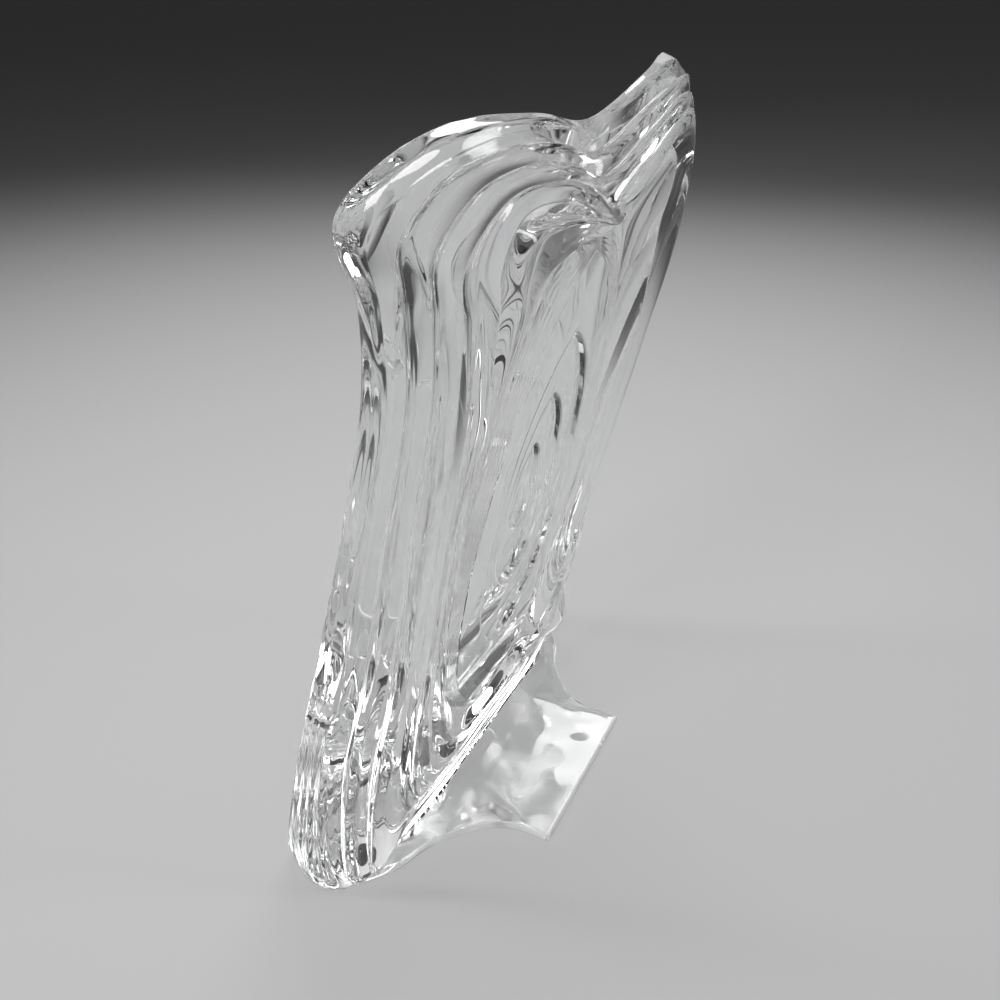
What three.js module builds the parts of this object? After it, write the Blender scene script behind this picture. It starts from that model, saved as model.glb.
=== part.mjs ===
// A crystal sculpture: a leaning, heart-shaped body of stepped leaves round a bowl, on a tongue-shaped foot.
// Millimetres, +X to the front, +Z up. The origin is on the floor, under the middle of the object.
import * as THREE from "three";

// Overall sizes
const bodyWidth = 210.4;
const bodyHeight = 240.1;
const bodyDepth = 79.6;

// Clearance between two bonded pieces
const bondGap = 0.3;

// Leaves
const grooveDepth = 2.6;
const grooveSteepest = 0.45;

// Hollow between the lip and the bowl's crest: where it lies from one to the other, and how deep
const flankPlace = 0.5;
const flankDepth = 4;
const flankSteepest = 0.4;

// Channel between the bowl's crest and its rim
const channelPlace = 0.62;
const channelDepth = 3.4;
const channelSteepest = 0.16;

// Bowl: its floor leans as the body does, and each leaf reaches it one step further forward
const paneStart = -12;
const paneLean = 0.209;
const rimRise = 0.5;
const seatDepth = 12;
const leafStep = 1.6;

// Medallion: terraces that go down towards the middle
const medallionMiddle = 118.5;
const terraceShares = [1, 0.69, 0.43, 0.2];
const terraceDepths = [-0.8, 1.2, 3.2, 5.2];

// Back: a leaning plane at the middle, swept to the back edge at the rim
const backStart = -36;
const backLean = 0.235;
const backMiddle = 112;
const backShares = [0.35, 0.6, 0.8, 0.92];
const sweepPower = 3;

// Foot
const footReach = 39;
const footHalfWidth = 33.3;
const footRootReach = 1.5;
const footRootHeight = 1.2;
const footEdge = 3.4;
const footFillet = 2.2;
const footFlankShare = 0.625;

// Flank of the foot from its root to its corner. Each place is a share of the reach, counted back from
// the outer edge, and a share of the way out from the corner's half-width to the root's.
const footFlank = [[1.04, 0.77], [0.91, 0.48], [0.74, 0.26], [0.54, 0.08], [0.28, 0]];

// How finely the free forms are cut
const stepsPerSpan = 3;
const bandSteps = 4;
const footColumns = 16;
const footRows = 5;
const shortestEdge = 1e-6;

// Crystal
const crystalRoughness = 0.03;

// Sketch of the right half. Each line runs over the same places: the dip at the top, the rise, peak
// and shoulder of the wing, its tip, the neck, the waist, three places down the flank, the bottom
// corner, the root and heel of the foot, and the sill in the middle. Each point is x, y, z.
const cornerPlace = 10;
const sketch = {
  backEdge: [
    [25.9, 0, 231.2], [27.4, 38, 238], [22.5, 68, 240.1], [18.6, 90, 235.5], [18.3, 105.2, 228.4],
    [12.3, 91, 207], [5.5, 82.5, 181], [-6.5, 78.3, 140], [-20.5, 77.5, 90], [-34, 78, 40],
    [-41.9, 75, 0], [-42, 50, 0], [-42, 22, 0], [-42, 0, 0],
  ],
  backBelly: [
    [26.6, 0, 230.1], [29.2, 34, 236.2], [26.4, 66, 238.6], [22.4, 88, 234.4], [20.4, 102.9, 226.8],
    [14.9, 91, 207], [9, 83, 181], [-2.5, 79, 140], [-15.7, 78, 90], [-28.5, 79.2, 40],
    [-27.5, 83.2, 0], [-7.4, 55, 0], [-4, 22, 0], [-3.6, 0, 0],
  ],
  firstCrest: [
    [27, 0, 228.4], [29.8, 29, 233.4], [28.5, 60.5, 235.9], [24.4, 82.4, 232.3], [21.4, 99, 224.4],
    [17.3, 90, 207], [12.5, 82.5, 181], [1.5, 78.5, 140], [-11, 76.5, 90], [-22.5, 78.8, 40],
    [-18, 82.6, 1], [-7.4, 54, 6.5], [-4, 22, 11], [-3.6, 0, 12],
  ],
  secondCrest: [
    [29.3, 0, 223.4], [32, 36.5, 231.5], [31.5, 61.8, 234.3], [28, 81, 231.4], [24.6, 91.4, 221.8],
    [21.4, 86, 207], [17, 80, 181], [6, 77, 140], [-5, 74.5, 90], [-14.8, 77.5, 40],
    [-12.4, 80.2, 3.6], [-7.2, 53, 9.5], [-4.4, 22, 13.1], [-4, 0, 13.9],
  ],
  thirdCrest: [
    [32.6, 0, 217.6], [34.6, 30.5, 226], [34.2, 50, 229.8], [31.8, 72.6, 227.8], [29, 85.2, 217.2],
    [26.4, 81.6, 204], [22.6, 77.5, 181], [13, 75, 140], [3, 71.5, 90], [-6.4, 74, 40],
    [-5.8, 77, 9.5], [-6.6, 53, 13], [-4.6, 22, 15.3], [-4.4, 0, 15.8],
  ],
  fourthCrest: [
    [34.6, 0, 210.2], [36.6, 21, 218.6], [36.8, 43, 225], [34.8, 65, 224.9], [32.4, 75.8, 214.8],
    [31.6, 74.4, 202], [28.8, 73.2, 181], [20.5, 71.5, 140], [9.5, 66, 90], [1.5, 62, 46],
    [-1, 52, 27], [-3.4, 36, 20.4], [-4.6, 18, 17.8], [-4.8, 0, 17.4],
  ],
  fourthLip: [
    [36, 0, 207.6], [37.6, 18, 212.7], [37.4, 40, 220], [36, 61, 220.8], [35, 69.4, 212.2],
    [34.2, 69.2, 200.5], [31.4, 69.4, 181], [21.5, 68, 140], [10.3, 61.5, 90], [3.5, 55, 50],
    [0, 43, 31.5], [-2.8, 28, 23.4], [-4.2, 14, 20], [-4.6, 0, 19.3],
  ],
  bowlCrest: [
    [36.4, 0, 205.4], [35.6, 18, 209.4], [35.4, 36, 212.4], [35.2, 49, 212], [33.8, 52.6, 204],
    [31.6, 50.8, 193.5], [28.4, 55, 178.5], [21, 61, 143], [10.5, 55.5, 93], [4, 47, 54],
    [0.5, 36, 36.5], [-2.6, 23, 27.5], [-4.2, 11, 23.8], [-4.6, 0, 22.9],
  ],
  bowlRim: [
    [0, 0, 197], [0, 5, 194.6], [0, 10.5, 190.5], [0, 16, 185.5], [0, 22, 178],
    [0, 28, 168.5], [0, 34, 156], [0, 39.5, 134], [0, 42, 105], [0, 38.5, 76],
    [0, 31, 54], [0, 21, 40.5], [0, 11, 31.5], [0, 0, 27.8],
  ],
};

const sketchPoints = Object.values(sketch).flat();
const sketchHalfWidth = Math.max(...sketchPoints.map((point) => point[1]));
const sketchHeight = Math.max(...sketchPoints.map((point) => point[2]));
const sketchBack = Math.min(...sketchPoints.map((point) => point[0]));
const sketchFront = Math.max(...sketchPoints.map((point) => point[0]));
const widthFactor = bodyWidth / (2 * sketchHalfWidth);
const heightFactor = bodyHeight / sketchHeight;
const depthFactor = bodyDepth / (sketchFront - sketchBack);

/** A sketched point at the real sizes. */
function real([x, y, z]) {
  return new THREE.Vector3(x * depthFactor, y * widthFactor, z * heightFactor);
}

/** A closed loop through a sketched half line and its mirror image, cut flat at the floor. */
function loopThrough(halfLine) {
  const right = halfLine.map(real);
  const left = right.slice(1, -1).reverse().map((point) => new THREE.Vector3(point.x, -point.y, point.z));
  const points = [...right, ...left];
  const curve = new THREE.CatmullRomCurve3(points, true, "centripetal");
  const count = points.length * stepsPerSpan;
  const loop = [];
  for (let i = 0; i < count; i += 1) {
    const point = curve.getPoint(i / count);
    point.z = Math.max(point.z, 0);
    loop.push(point);
  }
  return loop;
}

/** The bowl's floor at a height, before its terraces. */
function paneAt(z) {
  return (paneStart + paneLean * (z / heightFactor)) * depthFactor;
}

/** Moves a loop forward, or back where the distance is below nought. */
function forward(loop, distance) {
  return loop.map((point) => new THREE.Vector3(point.x + distance, point.y, point.z));
}

/** A loop part of the way from one loop to another. */
function between(from, to, share) {
  return from.map((point, i) => point.clone().lerp(to[i], share));
}

/** The loop halfway between two loops. */
function halfway(from, to) {
  return between(from, to, 0.5);
}

/** The bowl's rim at a depth behind the pane. */
function rimLoop(depth) {
  return loopThrough(sketch.bowlRim).map((point) => point.setX(paneAt(point.z) - depth));
}

/** A smaller copy of the bowl's rim about the medallion's middle, drawn in further by a clearance. */
function terraceLoop(share, clearance, depth) {
  const middle = medallionMiddle * heightFactor;
  return loopThrough(sketch.bowlRim).map((point) => {
    const out = new THREE.Vector2(point.y, point.z - middle);
    out.setLength(out.length() * share - clearance);
    const z = middle + out.y;
    return new THREE.Vector3(paneAt(z) - depth, out.x, z);
  });
}

/** The groove between two crests, sunk towards the bowl. */
function grooveLoop(outer, inner, core) {
  return outer.map((point, i) => {
    const middle = point.clone().lerp(inner[i], 0.5);
    const inward = core[i].clone().sub(middle);
    const depth = Math.min(grooveDepth, point.distanceTo(inner[i]) * grooveSteepest);
    return middle.addScaledVector(inward.normalize(), depth);
  });
}

/** A hollow between two crests, sunk straight back. */
function hollowLoop(outer, inner, place, depth, steepest) {
  return outer.map((point, i) => {
    const middle = point.clone().lerp(inner[i], place);
    middle.x -= Math.min(depth, point.distanceTo(inner[i]) * steepest);
    return middle;
  });
}

/** The point at a share of a curve from one point over a crest to another. Half of it reaches the crest. */
function overCrest(from, crest, to, share) {
  const climb = from.distanceTo(crest);
  const top = climb / (climb + crest.distanceTo(to));
  const place = share < 0.5 ? 2 * share * top : top + (2 * share - 1) * (1 - top);
  const pull = crest.clone()
    .addScaledVector(from, -((1 - top) ** 2))
    .addScaledVector(to, -(top ** 2))
    .divideScalar(2 * top * (1 - top));
  return new THREE.QuadraticBezierCurve3(from, pull, to).getPoint(place);
}

/** The rows of a rounded band from one groove over a crest to the next, without its two ends. */
function bandRows(from, crest, to) {
  const rows = [];
  for (let step = 1; step < bandSteps; step += 1) {
    rows.push(from.map((point, i) => overCrest(point, crest[i], to[i], step / bandSteps)));
  }
  return rows;
}

/** Adds the two triangles of a quad, cut along its shorter diagonal. */
function addQuad(triangles, a, b, c, d) {
  if (a.distanceTo(c) <= b.distanceTo(d)) {
    triangles.push([a, b, c], [a, c, d]);
  } else {
    triangles.push([a, b, d], [b, c, d]);
  }
}

/** The triangles between rows of equal length, each a closed ring of points. */
function skinRows(rows, joined) {
  const triangles = [];
  const last = joined ? rows.length : rows.length - 1;
  for (let r = 0; r < last; r += 1) {
    const near = rows[r];
    const far = rows[(r + 1) % rows.length];
    near.forEach((point, i) => {
      const next = (i + 1) % near.length;
      addQuad(triangles, point, near[next], far[next], far[i]);
    });
  }
  return triangles;
}

/** The fan that closes a ring of points round a middle point. */
function fan(ring, middle, turned) {
  return ring.map((point, i) => {
    const next = ring[(i + 1) % ring.length];
    return turned ? [middle, next, point] : [middle, point, next];
  });
}

/** Whether a triangle's three corners all lie apart. */
function hasArea([a, b, c]) {
  return Math.min(a.distanceTo(b), b.distanceTo(c), c.distanceTo(a)) > shortestEdge;
}

/** A geometry of the triangles, with its faces turned outwards and no slivers without area. */
function solid(triangles) {
  const kept = triangles.filter(hasArea);
  const volume = kept.reduce((sum, [a, b, c]) => sum + a.dot(b.clone().cross(c)), 0);
  const ordered = volume > 0 ? kept : kept.map(([a, b, c]) => [a, c, b]);
  const geometry = new THREE.BufferGeometry().setFromPoints(ordered.flat());
  geometry.computeVertexNormals();
  return geometry;
}

/** A ring-shaped solid whose rows run round and close on themselves. */
function ringSolid(rows) {
  return solid(skinRows(rows, true));
}

/** A solid whose first and last rows are closed by fans. */
function plateSolid(rows, firstMiddle, lastMiddle) {
  return solid([
    ...fan(rows[0], firstMiddle, true),
    ...skinRows(rows, false),
    ...fan(rows[rows.length - 1], lastMiddle, false),
  ]);
}

/** Clear crystal, with a slight tint for each piece. */
function crystal(tint) {
  return new THREE.MeshStandardMaterial({ color: tint, roughness: crystalRoughness, metalness: 0 });
}

/** A named piece. */
function piece(name, geometry, tint) {
  const mesh = new THREE.Mesh(geometry, crystal(tint));
  mesh.name = name;
  return mesh;
}

// Crests, grooves and hollows
const backEdge = loopThrough(sketch.backEdge);
const backBelly = loopThrough(sketch.backBelly);
const firstCrest = loopThrough(sketch.firstCrest);
const secondCrest = loopThrough(sketch.secondCrest);
const thirdCrest = loopThrough(sketch.thirdCrest);
const fourthCrest = loopThrough(sketch.fourthCrest);
const fourthLip = loopThrough(sketch.fourthLip);
const bowlCrest = loopThrough(sketch.bowlCrest);
const bowlRim = rimLoop(-rimRise);
const seats = [0, 1, 2, 3].map((leaf) => rimLoop(seatDepth - leaf * leafStep));
const firstGroove = grooveLoop(firstCrest, secondCrest, seats[0]);
const secondGroove = grooveLoop(secondCrest, thirdCrest, seats[1]);
const thirdGroove = grooveLoop(thirdCrest, fourthCrest, seats[2]);
const bowlGroove = hollowLoop(fourthLip, bowlCrest, flankPlace, flankDepth, flankSteepest);
const channel = hollowLoop(bowlCrest, bowlRim, channelPlace, channelDepth, channelSteepest);

/** The back surface: flat in the middle and swept to the back edge at the rim. */
function backRow(share) {
  const middle = new THREE.Vector3(0, 0, backMiddle * heightFactor);
  return backEdge.map((edge) => {
    const point = middle.clone().lerp(edge, share);
    const sweep = edge.x - backPlane(edge.z);
    point.x = backPlane(point.z) + sweep * share ** sweepPower;
    return point;
  });
}

/** The depth of the back surface's middle at a height, as a leaning plane. */
function backPlane(z) {
  return (backStart + backLean * (z / heightFactor)) * depthFactor;
}

/** The back plate: the widest leaf, with the swept-back wing tips and the block that stands on the floor. */
function backPlate() {
  const seatMiddle = new THREE.Vector3(0, 0, medallionMiddle * heightFactor);
  seatMiddle.x = paneAt(seatMiddle.z) - seatDepth;
  const backCentre = new THREE.Vector3(0, 0, backMiddle * heightFactor);
  backCentre.x = backPlane(backCentre.z);
  const rows = [
    ...backShares.map(backRow),
    backEdge, halfway(backEdge, backBelly), backBelly,
    halfway(backBelly, firstCrest), firstCrest,
    halfway(firstCrest, firstGroove), firstGroove,
    halfway(firstGroove, seats[0]), seats[0],
  ];
  return piece("back_plate", plateSolid(rows, backCentre, seatMiddle), 0xe9f2ef);
}

/** A leaf: a heart-shaped frame with a rounded band outside, bonded between its two neighbours. */
function leaf(name, from, crest, to, backSeat, frontSeat, tint) {
  const rows = [
    forward(from, bondGap), ...bandRows(forward(from, bondGap), crest, to), to,
    halfway(to, frontSeat), frontSeat,
    forward(backSeat, bondGap), forward(halfway(from, backSeat), bondGap),
  ];
  return piece(name, ringSolid(rows), tint);
}

/** The fourth leaf also carries the lip that looks down into the bowl. */
function fourthLeaf() {
  const start = forward(thirdGroove, bondGap);
  const rows = [
    start, ...bandRows(start, fourthCrest, fourthLip), fourthLip,
    halfway(fourthLip, bowlGroove), bowlGroove,
    halfway(bowlGroove, seats[3]), seats[3],
    forward(seats[2], bondGap), forward(halfway(thirdGroove, seats[2]), bondGap),
  ];
  return piece("fourth_leaf", ringSolid(rows), 0xf0f4f2);
}

/** The bowl frame: the innermost leaf, with the channel that runs round the medallion. */
function bowlFrame() {
  const start = forward(bowlGroove, bondGap);
  const rows = [
    start, halfway(start, bowlCrest), bowlCrest,
    halfway(bowlCrest, channel), channel,
    bowlRim,
    forward(seats[3], bondGap), forward(halfway(bowlGroove, seats[3]), bondGap),
  ];
  return piece("bowl_frame", ringSolid(rows), 0xe6f0ec);
}

/** One terrace of the medallion, as a ring that stands on the back plate. */
function terrace(name, step) {
  const back = seatDepth - bondGap;
  const outer = terraceShares[step];
  const inner = terraceShares[step + 1];
  const rows = [
    terraceLoop(outer, bondGap, back), terraceLoop(outer, bondGap, terraceDepths[step]),
    terraceLoop(inner, 0, terraceDepths[step]), terraceLoop(inner, 0, back),
  ];
  return piece(name, ringSolid(rows), 0xe2ece8);
}

/** The clear middle of the medallion. */
function medallionCentre() {
  const last = terraceShares.length - 1;
  const back = seatDepth - bondGap;
  const z = medallionMiddle * heightFactor;
  const behind = new THREE.Vector3(paneAt(z) - back, 0, z);
  const front = new THREE.Vector3(paneAt(z) - terraceDepths[last], 0, z);
  const rows = [
    terraceLoop(terraceShares[last], bondGap, back),
    terraceLoop(terraceShares[last], bondGap, terraceDepths[last]),
  ];
  return piece("medallion_centre", plateSolid(rows, behind, front), 0xe2ece8);
}

/** The front of the body from the foot's root to the middle of the sill, at the height the foot reaches. */
function sillLine() {
  const line = [];
  const middle = backBelly.length / 2;
  for (let i = cornerPlace * stepsPerSpan + 1; i <= middle; i += 1) {
    const front = Math.max(backBelly[i].x, firstCrest[i].x) + bondGap;
    const height = Math.max(firstCrest[i].z - bondGap, footRootHeight);
    line.push(new THREE.Vector3(front, backBelly[i].y, height));
  }
  return line;
}

/** The point at a share of a line, counted by its points. */
function along(line, share) {
  const place = share * (line.length - 1);
  const i = Math.min(Math.floor(place), line.length - 2);
  return line[i].clone().lerp(line[i + 1], place - i);
}

/** The foot's outline from its root, along the hollow flank, to the middle of its straight outer edge. */
function footOutline(sill, share) {
  const front = sill[sill.length - 1].x + footReach;
  const root = new THREE.Vector3(sill[0].x + footRootReach, sill[0].y, 0);
  const corner = new THREE.Vector3(front, footHalfWidth, 0);
  if (share > footFlankShare) {
    const middle = new THREE.Vector3(front, 0, 0);
    return corner.lerp(middle, (share - footFlankShare) / (1 - footFlankShare));
  }
  const flank = footFlank.map(([reach, spread]) => new THREE.Vector3(
    front - footReach * reach,
    footHalfWidth + (root.y - footHalfWidth) * spread,
    0,
  ));
  return new THREE.CatmullRomCurve3([root, ...flank, corner]).getPoint(share / footFlankShare);
}

/** One slice of the foot, from the body out to the foot's edge. */
function footSlice(sill, side, share) {
  const inner = along(sill, share);
  const outer = footOutline(sill, share);
  const edge = Math.min(footEdge, inner.z);
  const slice = [new THREE.Vector3(inner.x, inner.y, 0)];
  for (let row = 0; row <= footRows; row += 1) {
    const u = row / footRows;
    const point = inner.clone().lerp(outer, u);
    point.z = edge + (inner.z - edge) * (1 - u) ** footFillet;
    slice.push(point);
  }
  slice.push(new THREE.Vector3(outer.x, outer.y, 0));
  return slice.map((point) => point.setY(point.y * side));
}

/** The middle of a ring of points. */
function middleOf(ring) {
  const sum = ring.reduce((total, point) => total.add(point), new THREE.Vector3());
  return sum.divideScalar(ring.length);
}

/** The foot: a tongue that is thin at its edge and rises in a hollow curve to the sill. */
function foot() {
  const sill = sillLine();
  const slices = [];
  for (let column = -footColumns; column <= footColumns; column += 1) {
    slices.push(footSlice(sill, Math.sign(column) || 1, 1 - Math.abs(column) / footColumns));
  }
  const geometry = plateSolid(slices, middleOf(slices[0]), middleOf(slices[slices.length - 1]));
  return piece("foot", geometry, 0xeef3f1);
}

const sculpture = new THREE.Group();
sculpture.add(
  backPlate(),
  leaf("second_leaf", firstGroove, secondCrest, secondGroove, seats[0], seats[1], 0xecf3f1),
  leaf("third_leaf", secondGroove, thirdCrest, thirdGroove, seats[1], seats[2], 0xeaf2f0),
  fourthLeaf(),
  bowlFrame(),
  terrace("medallion_outer_ring", 0),
  terrace("medallion_middle_ring", 1),
  terrace("medallion_inner_ring", 2),
  medallionCentre(),
  foot(),
);

// The object stands over the origin, by the middle of its depth.
const extent = new THREE.Box3().setFromObject(sculpture);
sculpture.position.x = -(extent.min.x + extent.max.x) / 2;

export default sculpture;
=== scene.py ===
"""A clear crystal sculpture.

A leaning body of stepped leaves stands round a terraced bowl, on a tongue-shaped foot.
"""

from __future__ import annotations

import logging
import math
from dataclasses import dataclass, field
from enum import Enum

import bmesh
import bpy
import numpy as np
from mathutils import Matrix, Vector, noise


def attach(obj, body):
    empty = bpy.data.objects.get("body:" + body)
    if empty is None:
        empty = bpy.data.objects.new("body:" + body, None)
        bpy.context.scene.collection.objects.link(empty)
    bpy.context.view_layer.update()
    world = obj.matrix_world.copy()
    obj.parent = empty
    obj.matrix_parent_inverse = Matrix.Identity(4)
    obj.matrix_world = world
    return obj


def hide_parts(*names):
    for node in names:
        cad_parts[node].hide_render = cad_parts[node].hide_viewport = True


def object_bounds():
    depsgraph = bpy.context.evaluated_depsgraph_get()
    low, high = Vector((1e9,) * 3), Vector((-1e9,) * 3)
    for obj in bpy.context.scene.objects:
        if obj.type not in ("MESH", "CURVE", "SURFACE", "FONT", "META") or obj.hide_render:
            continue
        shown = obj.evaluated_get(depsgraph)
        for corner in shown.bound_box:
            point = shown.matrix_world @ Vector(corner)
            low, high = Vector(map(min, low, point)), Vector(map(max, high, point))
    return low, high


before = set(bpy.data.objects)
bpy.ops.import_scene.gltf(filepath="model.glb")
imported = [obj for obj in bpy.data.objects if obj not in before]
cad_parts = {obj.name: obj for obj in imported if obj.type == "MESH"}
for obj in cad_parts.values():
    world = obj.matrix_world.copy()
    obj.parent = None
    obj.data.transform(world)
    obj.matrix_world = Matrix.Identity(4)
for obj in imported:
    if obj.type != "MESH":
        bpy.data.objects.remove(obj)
CAD_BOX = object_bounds()

LOG = logging.getLogger("crystal_sculpture")
MM = 0.001
TURN = 2 * math.pi
SAME_ROW = 1e-9
SAME_POINT = 1e-7
Point = tuple[float, float, float]


class Face(Enum):
    """How a stretch of a piece's skin is finished, in the order of its material slots."""

    DRAWN = 0
    POLISHED = 1
    BONDED = 2


@dataclass(frozen=True)
class Sketch:
    """Half outlines of the body in millimetres, over the same places from the dip to the sill."""

    back_edge: tuple[Point, ...] = (
        (25.9, 0, 231.2), (27.4, 38, 238), (22.5, 68, 240.1), (18.6, 90, 235.5),
        (18.3, 105.2, 228.4), (12.3, 91, 207), (5.5, 82.5, 181), (-6.5, 78.3, 140),
        (-20.5, 77.5, 90), (-34, 78, 40), (-41.9, 75, 0), (-42, 50, 0), (-42, 22, 0),
        (-42, 0, 0),
    )
    back_belly: tuple[Point, ...] = (
        (26.6, 0, 230.1), (29.2, 34, 236.2), (26.4, 66, 238.6), (22.4, 88, 234.4),
        (20.4, 102.9, 226.8), (14.9, 91, 207), (9, 83, 181), (-2.5, 79, 140), (-15.7, 78, 90),
        (-28.5, 79.2, 40), (-27.5, 83.2, 0), (-7.4, 55, 0), (-4, 22, 0), (-3.6, 0, 0),
    )
    first_crest: tuple[Point, ...] = (
        (27, 0, 228.4), (29.8, 29, 233.4), (28.5, 60.5, 235.9), (24.4, 82.4, 232.3),
        (21.4, 99, 224.4), (17.3, 90, 207), (12.5, 82.5, 181), (1.5, 78.5, 140),
        (-11, 76.5, 90), (-22.5, 78.8, 40), (-18, 82.6, 1), (-7.4, 54, 6.5), (-4, 22, 11),
        (-3.6, 0, 12),
    )
    second_crest: tuple[Point, ...] = (
        (29.3, 0, 223.4), (32, 36.5, 231.5), (31.5, 61.8, 234.3), (28, 81, 231.4),
        (24.6, 91.4, 221.8), (21.4, 86, 207), (17, 80, 181), (6, 77, 140), (-5, 74.5, 90),
        (-14.8, 77.5, 40), (-12.4, 80.2, 3.6), (-7.2, 53, 9.5), (-4.4, 22, 13.1), (-4, 0, 13.9),
    )
    third_crest: tuple[Point, ...] = (
        (32.6, 0, 217.6), (34.6, 30.5, 226), (34.2, 50, 229.8), (31.8, 72.6, 227.8),
        (29, 85.2, 217.2), (26.4, 81.6, 204), (22.6, 77.5, 181), (13, 75, 140), (3, 71.5, 90),
        (-6.4, 74, 40), (-5.8, 77, 9.5), (-6.6, 53, 13), (-4.6, 22, 15.3), (-4.4, 0, 15.8),
    )
    fourth_crest: tuple[Point, ...] = (
        (34.6, 0, 210.2), (36.6, 21, 218.6), (36.8, 43, 225), (34.8, 65, 224.9),
        (32.4, 75.8, 214.8), (31.6, 74.4, 202), (28.8, 73.2, 181), (20.5, 71.5, 140),
        (9.5, 66, 90), (1.5, 62, 46), (-1, 52, 27), (-3.4, 36, 20.4), (-4.6, 18, 17.8),
        (-4.8, 0, 17.4),
    )
    fourth_lip: tuple[Point, ...] = (
        (36, 0, 207.6), (37.6, 18, 212.7), (37.4, 40, 220), (36, 61, 220.8), (35, 69.4, 212.2),
        (34.2, 69.2, 200.5), (31.4, 69.4, 181), (21.5, 68, 140), (10.3, 61.5, 90),
        (3.5, 55, 50), (0, 43, 31.5), (-2.8, 28, 23.4), (-4.2, 14, 20), (-4.6, 0, 19.3),
    )
    bowl_crest: tuple[Point, ...] = (
        (36.4, 0, 205.4), (35.6, 18, 209.4), (35.4, 36, 212.4), (35.2, 49, 212),
        (33.8, 52.6, 204), (31.6, 50.8, 193.5), (28.4, 55, 178.5), (21, 61, 143),
        (10.5, 55.5, 93), (4, 47, 54), (0.5, 36, 36.5), (-2.6, 23, 27.5), (-4.2, 11, 23.8),
        (-4.6, 0, 22.9),
    )
    bowl_rim: tuple[Point, ...] = (
        (0, 0, 197), (0, 5, 194.6), (0, 10.5, 190.5), (0, 16, 185.5), (0, 22, 178),
        (0, 28, 168.5), (0, 34, 156), (0, 39.5, 134), (0, 42, 105), (0, 38.5, 76), (0, 31, 54),
        (0, 21, 40.5), (0, 11, 31.5), (0, 0, 27.8),
    )


def gentle(share: np.ndarray | float) -> np.ndarray | float:
    """A share from 0 to 1 that leaves both ends gently."""
    return share * (share * (3 - 2 * share))


def curve(
    a: np.ndarray, b: np.ndarray, start: np.ndarray, end: np.ndarray, t: np.ndarray | float
) -> np.ndarray:
    """A cubic curve from one place to another.

    Args:
        a: Where it starts.
        b: Where it ends.
        start: Its direction at the start.
        end: Its direction at the end.
        t: How far along it, from 0 to 1.

    Returns:
        The place, or places.
    """
    bend = -3 * a + 3 * b - 2 * start - end
    return a + start * t + bend * t**2 + (2 * a - 2 * b + start + end) * t**3


@dataclass(frozen=True)
class Loops:
    """Draws closed loops through the sketched half outlines and their mirror images, in metres."""

    sketch: Sketch = Sketch()
    steps: int = 12
    ease: float = 0.8
    low_ease: float = 2.6
    low_until: float = 25.0
    high_from: float = 80.0
    corner_place: int = 10
    pane_start: float = -12.0
    pane_lean: float = 0.209

    @staticmethod
    def span(p: list[np.ndarray], shares: np.ndarray) -> np.ndarray:
        """Points of one centripetal Catmull-Rom span.

        Args:
            p: The four points that shape the span, of which it joins the middle two.
            shares: Places along the span, from 0 to 1.

        Returns:
            One point for each share.
        """
        shortest = 1e-4
        near, own, far = (max(np.linalg.norm(p[k + 1] - p[k]) ** 0.5, shortest) for k in range(3))
        start = (p[1] - p[0]) / near - (p[2] - p[0]) / (near + own) + (p[2] - p[1]) / own
        end = (p[2] - p[1]) / own - (p[3] - p[1]) / (own + far) + (p[3] - p[2]) / far
        return curve(p[1], p[2], start * own, end * own, shares[:, None])

    @staticmethod
    def _eased(loop: np.ndarray, ease: float) -> np.ndarray:
        """A loop with its kinks eased out, and its size kept.

        Args:
            loop: The loop.
            ease: Over how many stations.

        Returns:
            The eased loop.
        """
        waves = np.fft.rfft(loop, axis=0)
        turns = TURN * ease * np.arange(len(waves)) / len(loop)
        kept = np.exp(-(turns**2) / 2)
        return np.fft.irfft(waves * (kept * (2 - kept))[:, None], n=len(loop), axis=0)

    def through(self, half: tuple[Point, ...]) -> np.ndarray:
        """A closed loop through a half outline and its mirror image, not below the floor.

        Args:
            half: Points in millimetres from the dip to the sill.

        Returns:
            The loop's points in metres.
        """
        right = [np.array(point, float) for point in half]
        left = [point * (1, -1, 1) for point in reversed(right[1:-1])]
        points = right + left
        count = len(points)
        shares = np.arange(self.steps) / self.steps
        spans = [
            self.span([points[(k + near) % count] for near in (-1, 0, 1, 2)], shares)
            for k in range(count)
        ]
        loop = np.concatenate(spans)
        climb = (loop[:, 2:] - self.low_until) / (self.high_from - self.low_until)
        high = gentle(np.clip(climb, 0, 1))
        loop = self._eased(loop, self.ease) * high + self._eased(loop, self.low_ease) * (1 - high)
        loop[:, 2] = np.maximum(loop[:, 2], 0)
        return loop * MM

    def pane(self, heights: np.ndarray) -> np.ndarray:
        """The depth of the bowl's floor at some heights, in metres."""
        return self.pane_start * MM + self.pane_lean * heights

    def rim(self, depth: float) -> np.ndarray:
        """The bowl's rim, behind the pane.

        Args:
            depth: How far behind it, in millimetres.

        Returns:
            The loop's points in metres.
        """
        loop = self.through(self.sketch.bowl_rim)
        loop[:, 0] = self.pane(loop[:, 2]) - depth * MM
        return loop

    def terrace(self, share: float, inset: float, depth: float, middle: float) -> np.ndarray:
        """A smaller copy of the bowl's rim about the medallion's middle.

        Args:
            share: Size against the rim.
            inset: How far it is drawn in further, in millimetres.
            depth: How far it lies behind the pane, in millimetres.
            middle: Height of the medallion's middle, in millimetres.

        Returns:
            The loop's points in metres.
        """
        loop = self.through(self.sketch.bowl_rim)
        out = loop[:, 1:] - (0, middle * MM)
        reach = np.linalg.norm(out, axis=1, keepdims=True)
        loop[:, 1:] = out / reach * (reach * share - inset * MM) + (0, middle * MM)
        loop[:, 0] = self.pane(loop[:, 2]) - depth * MM
        return loop


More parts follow.
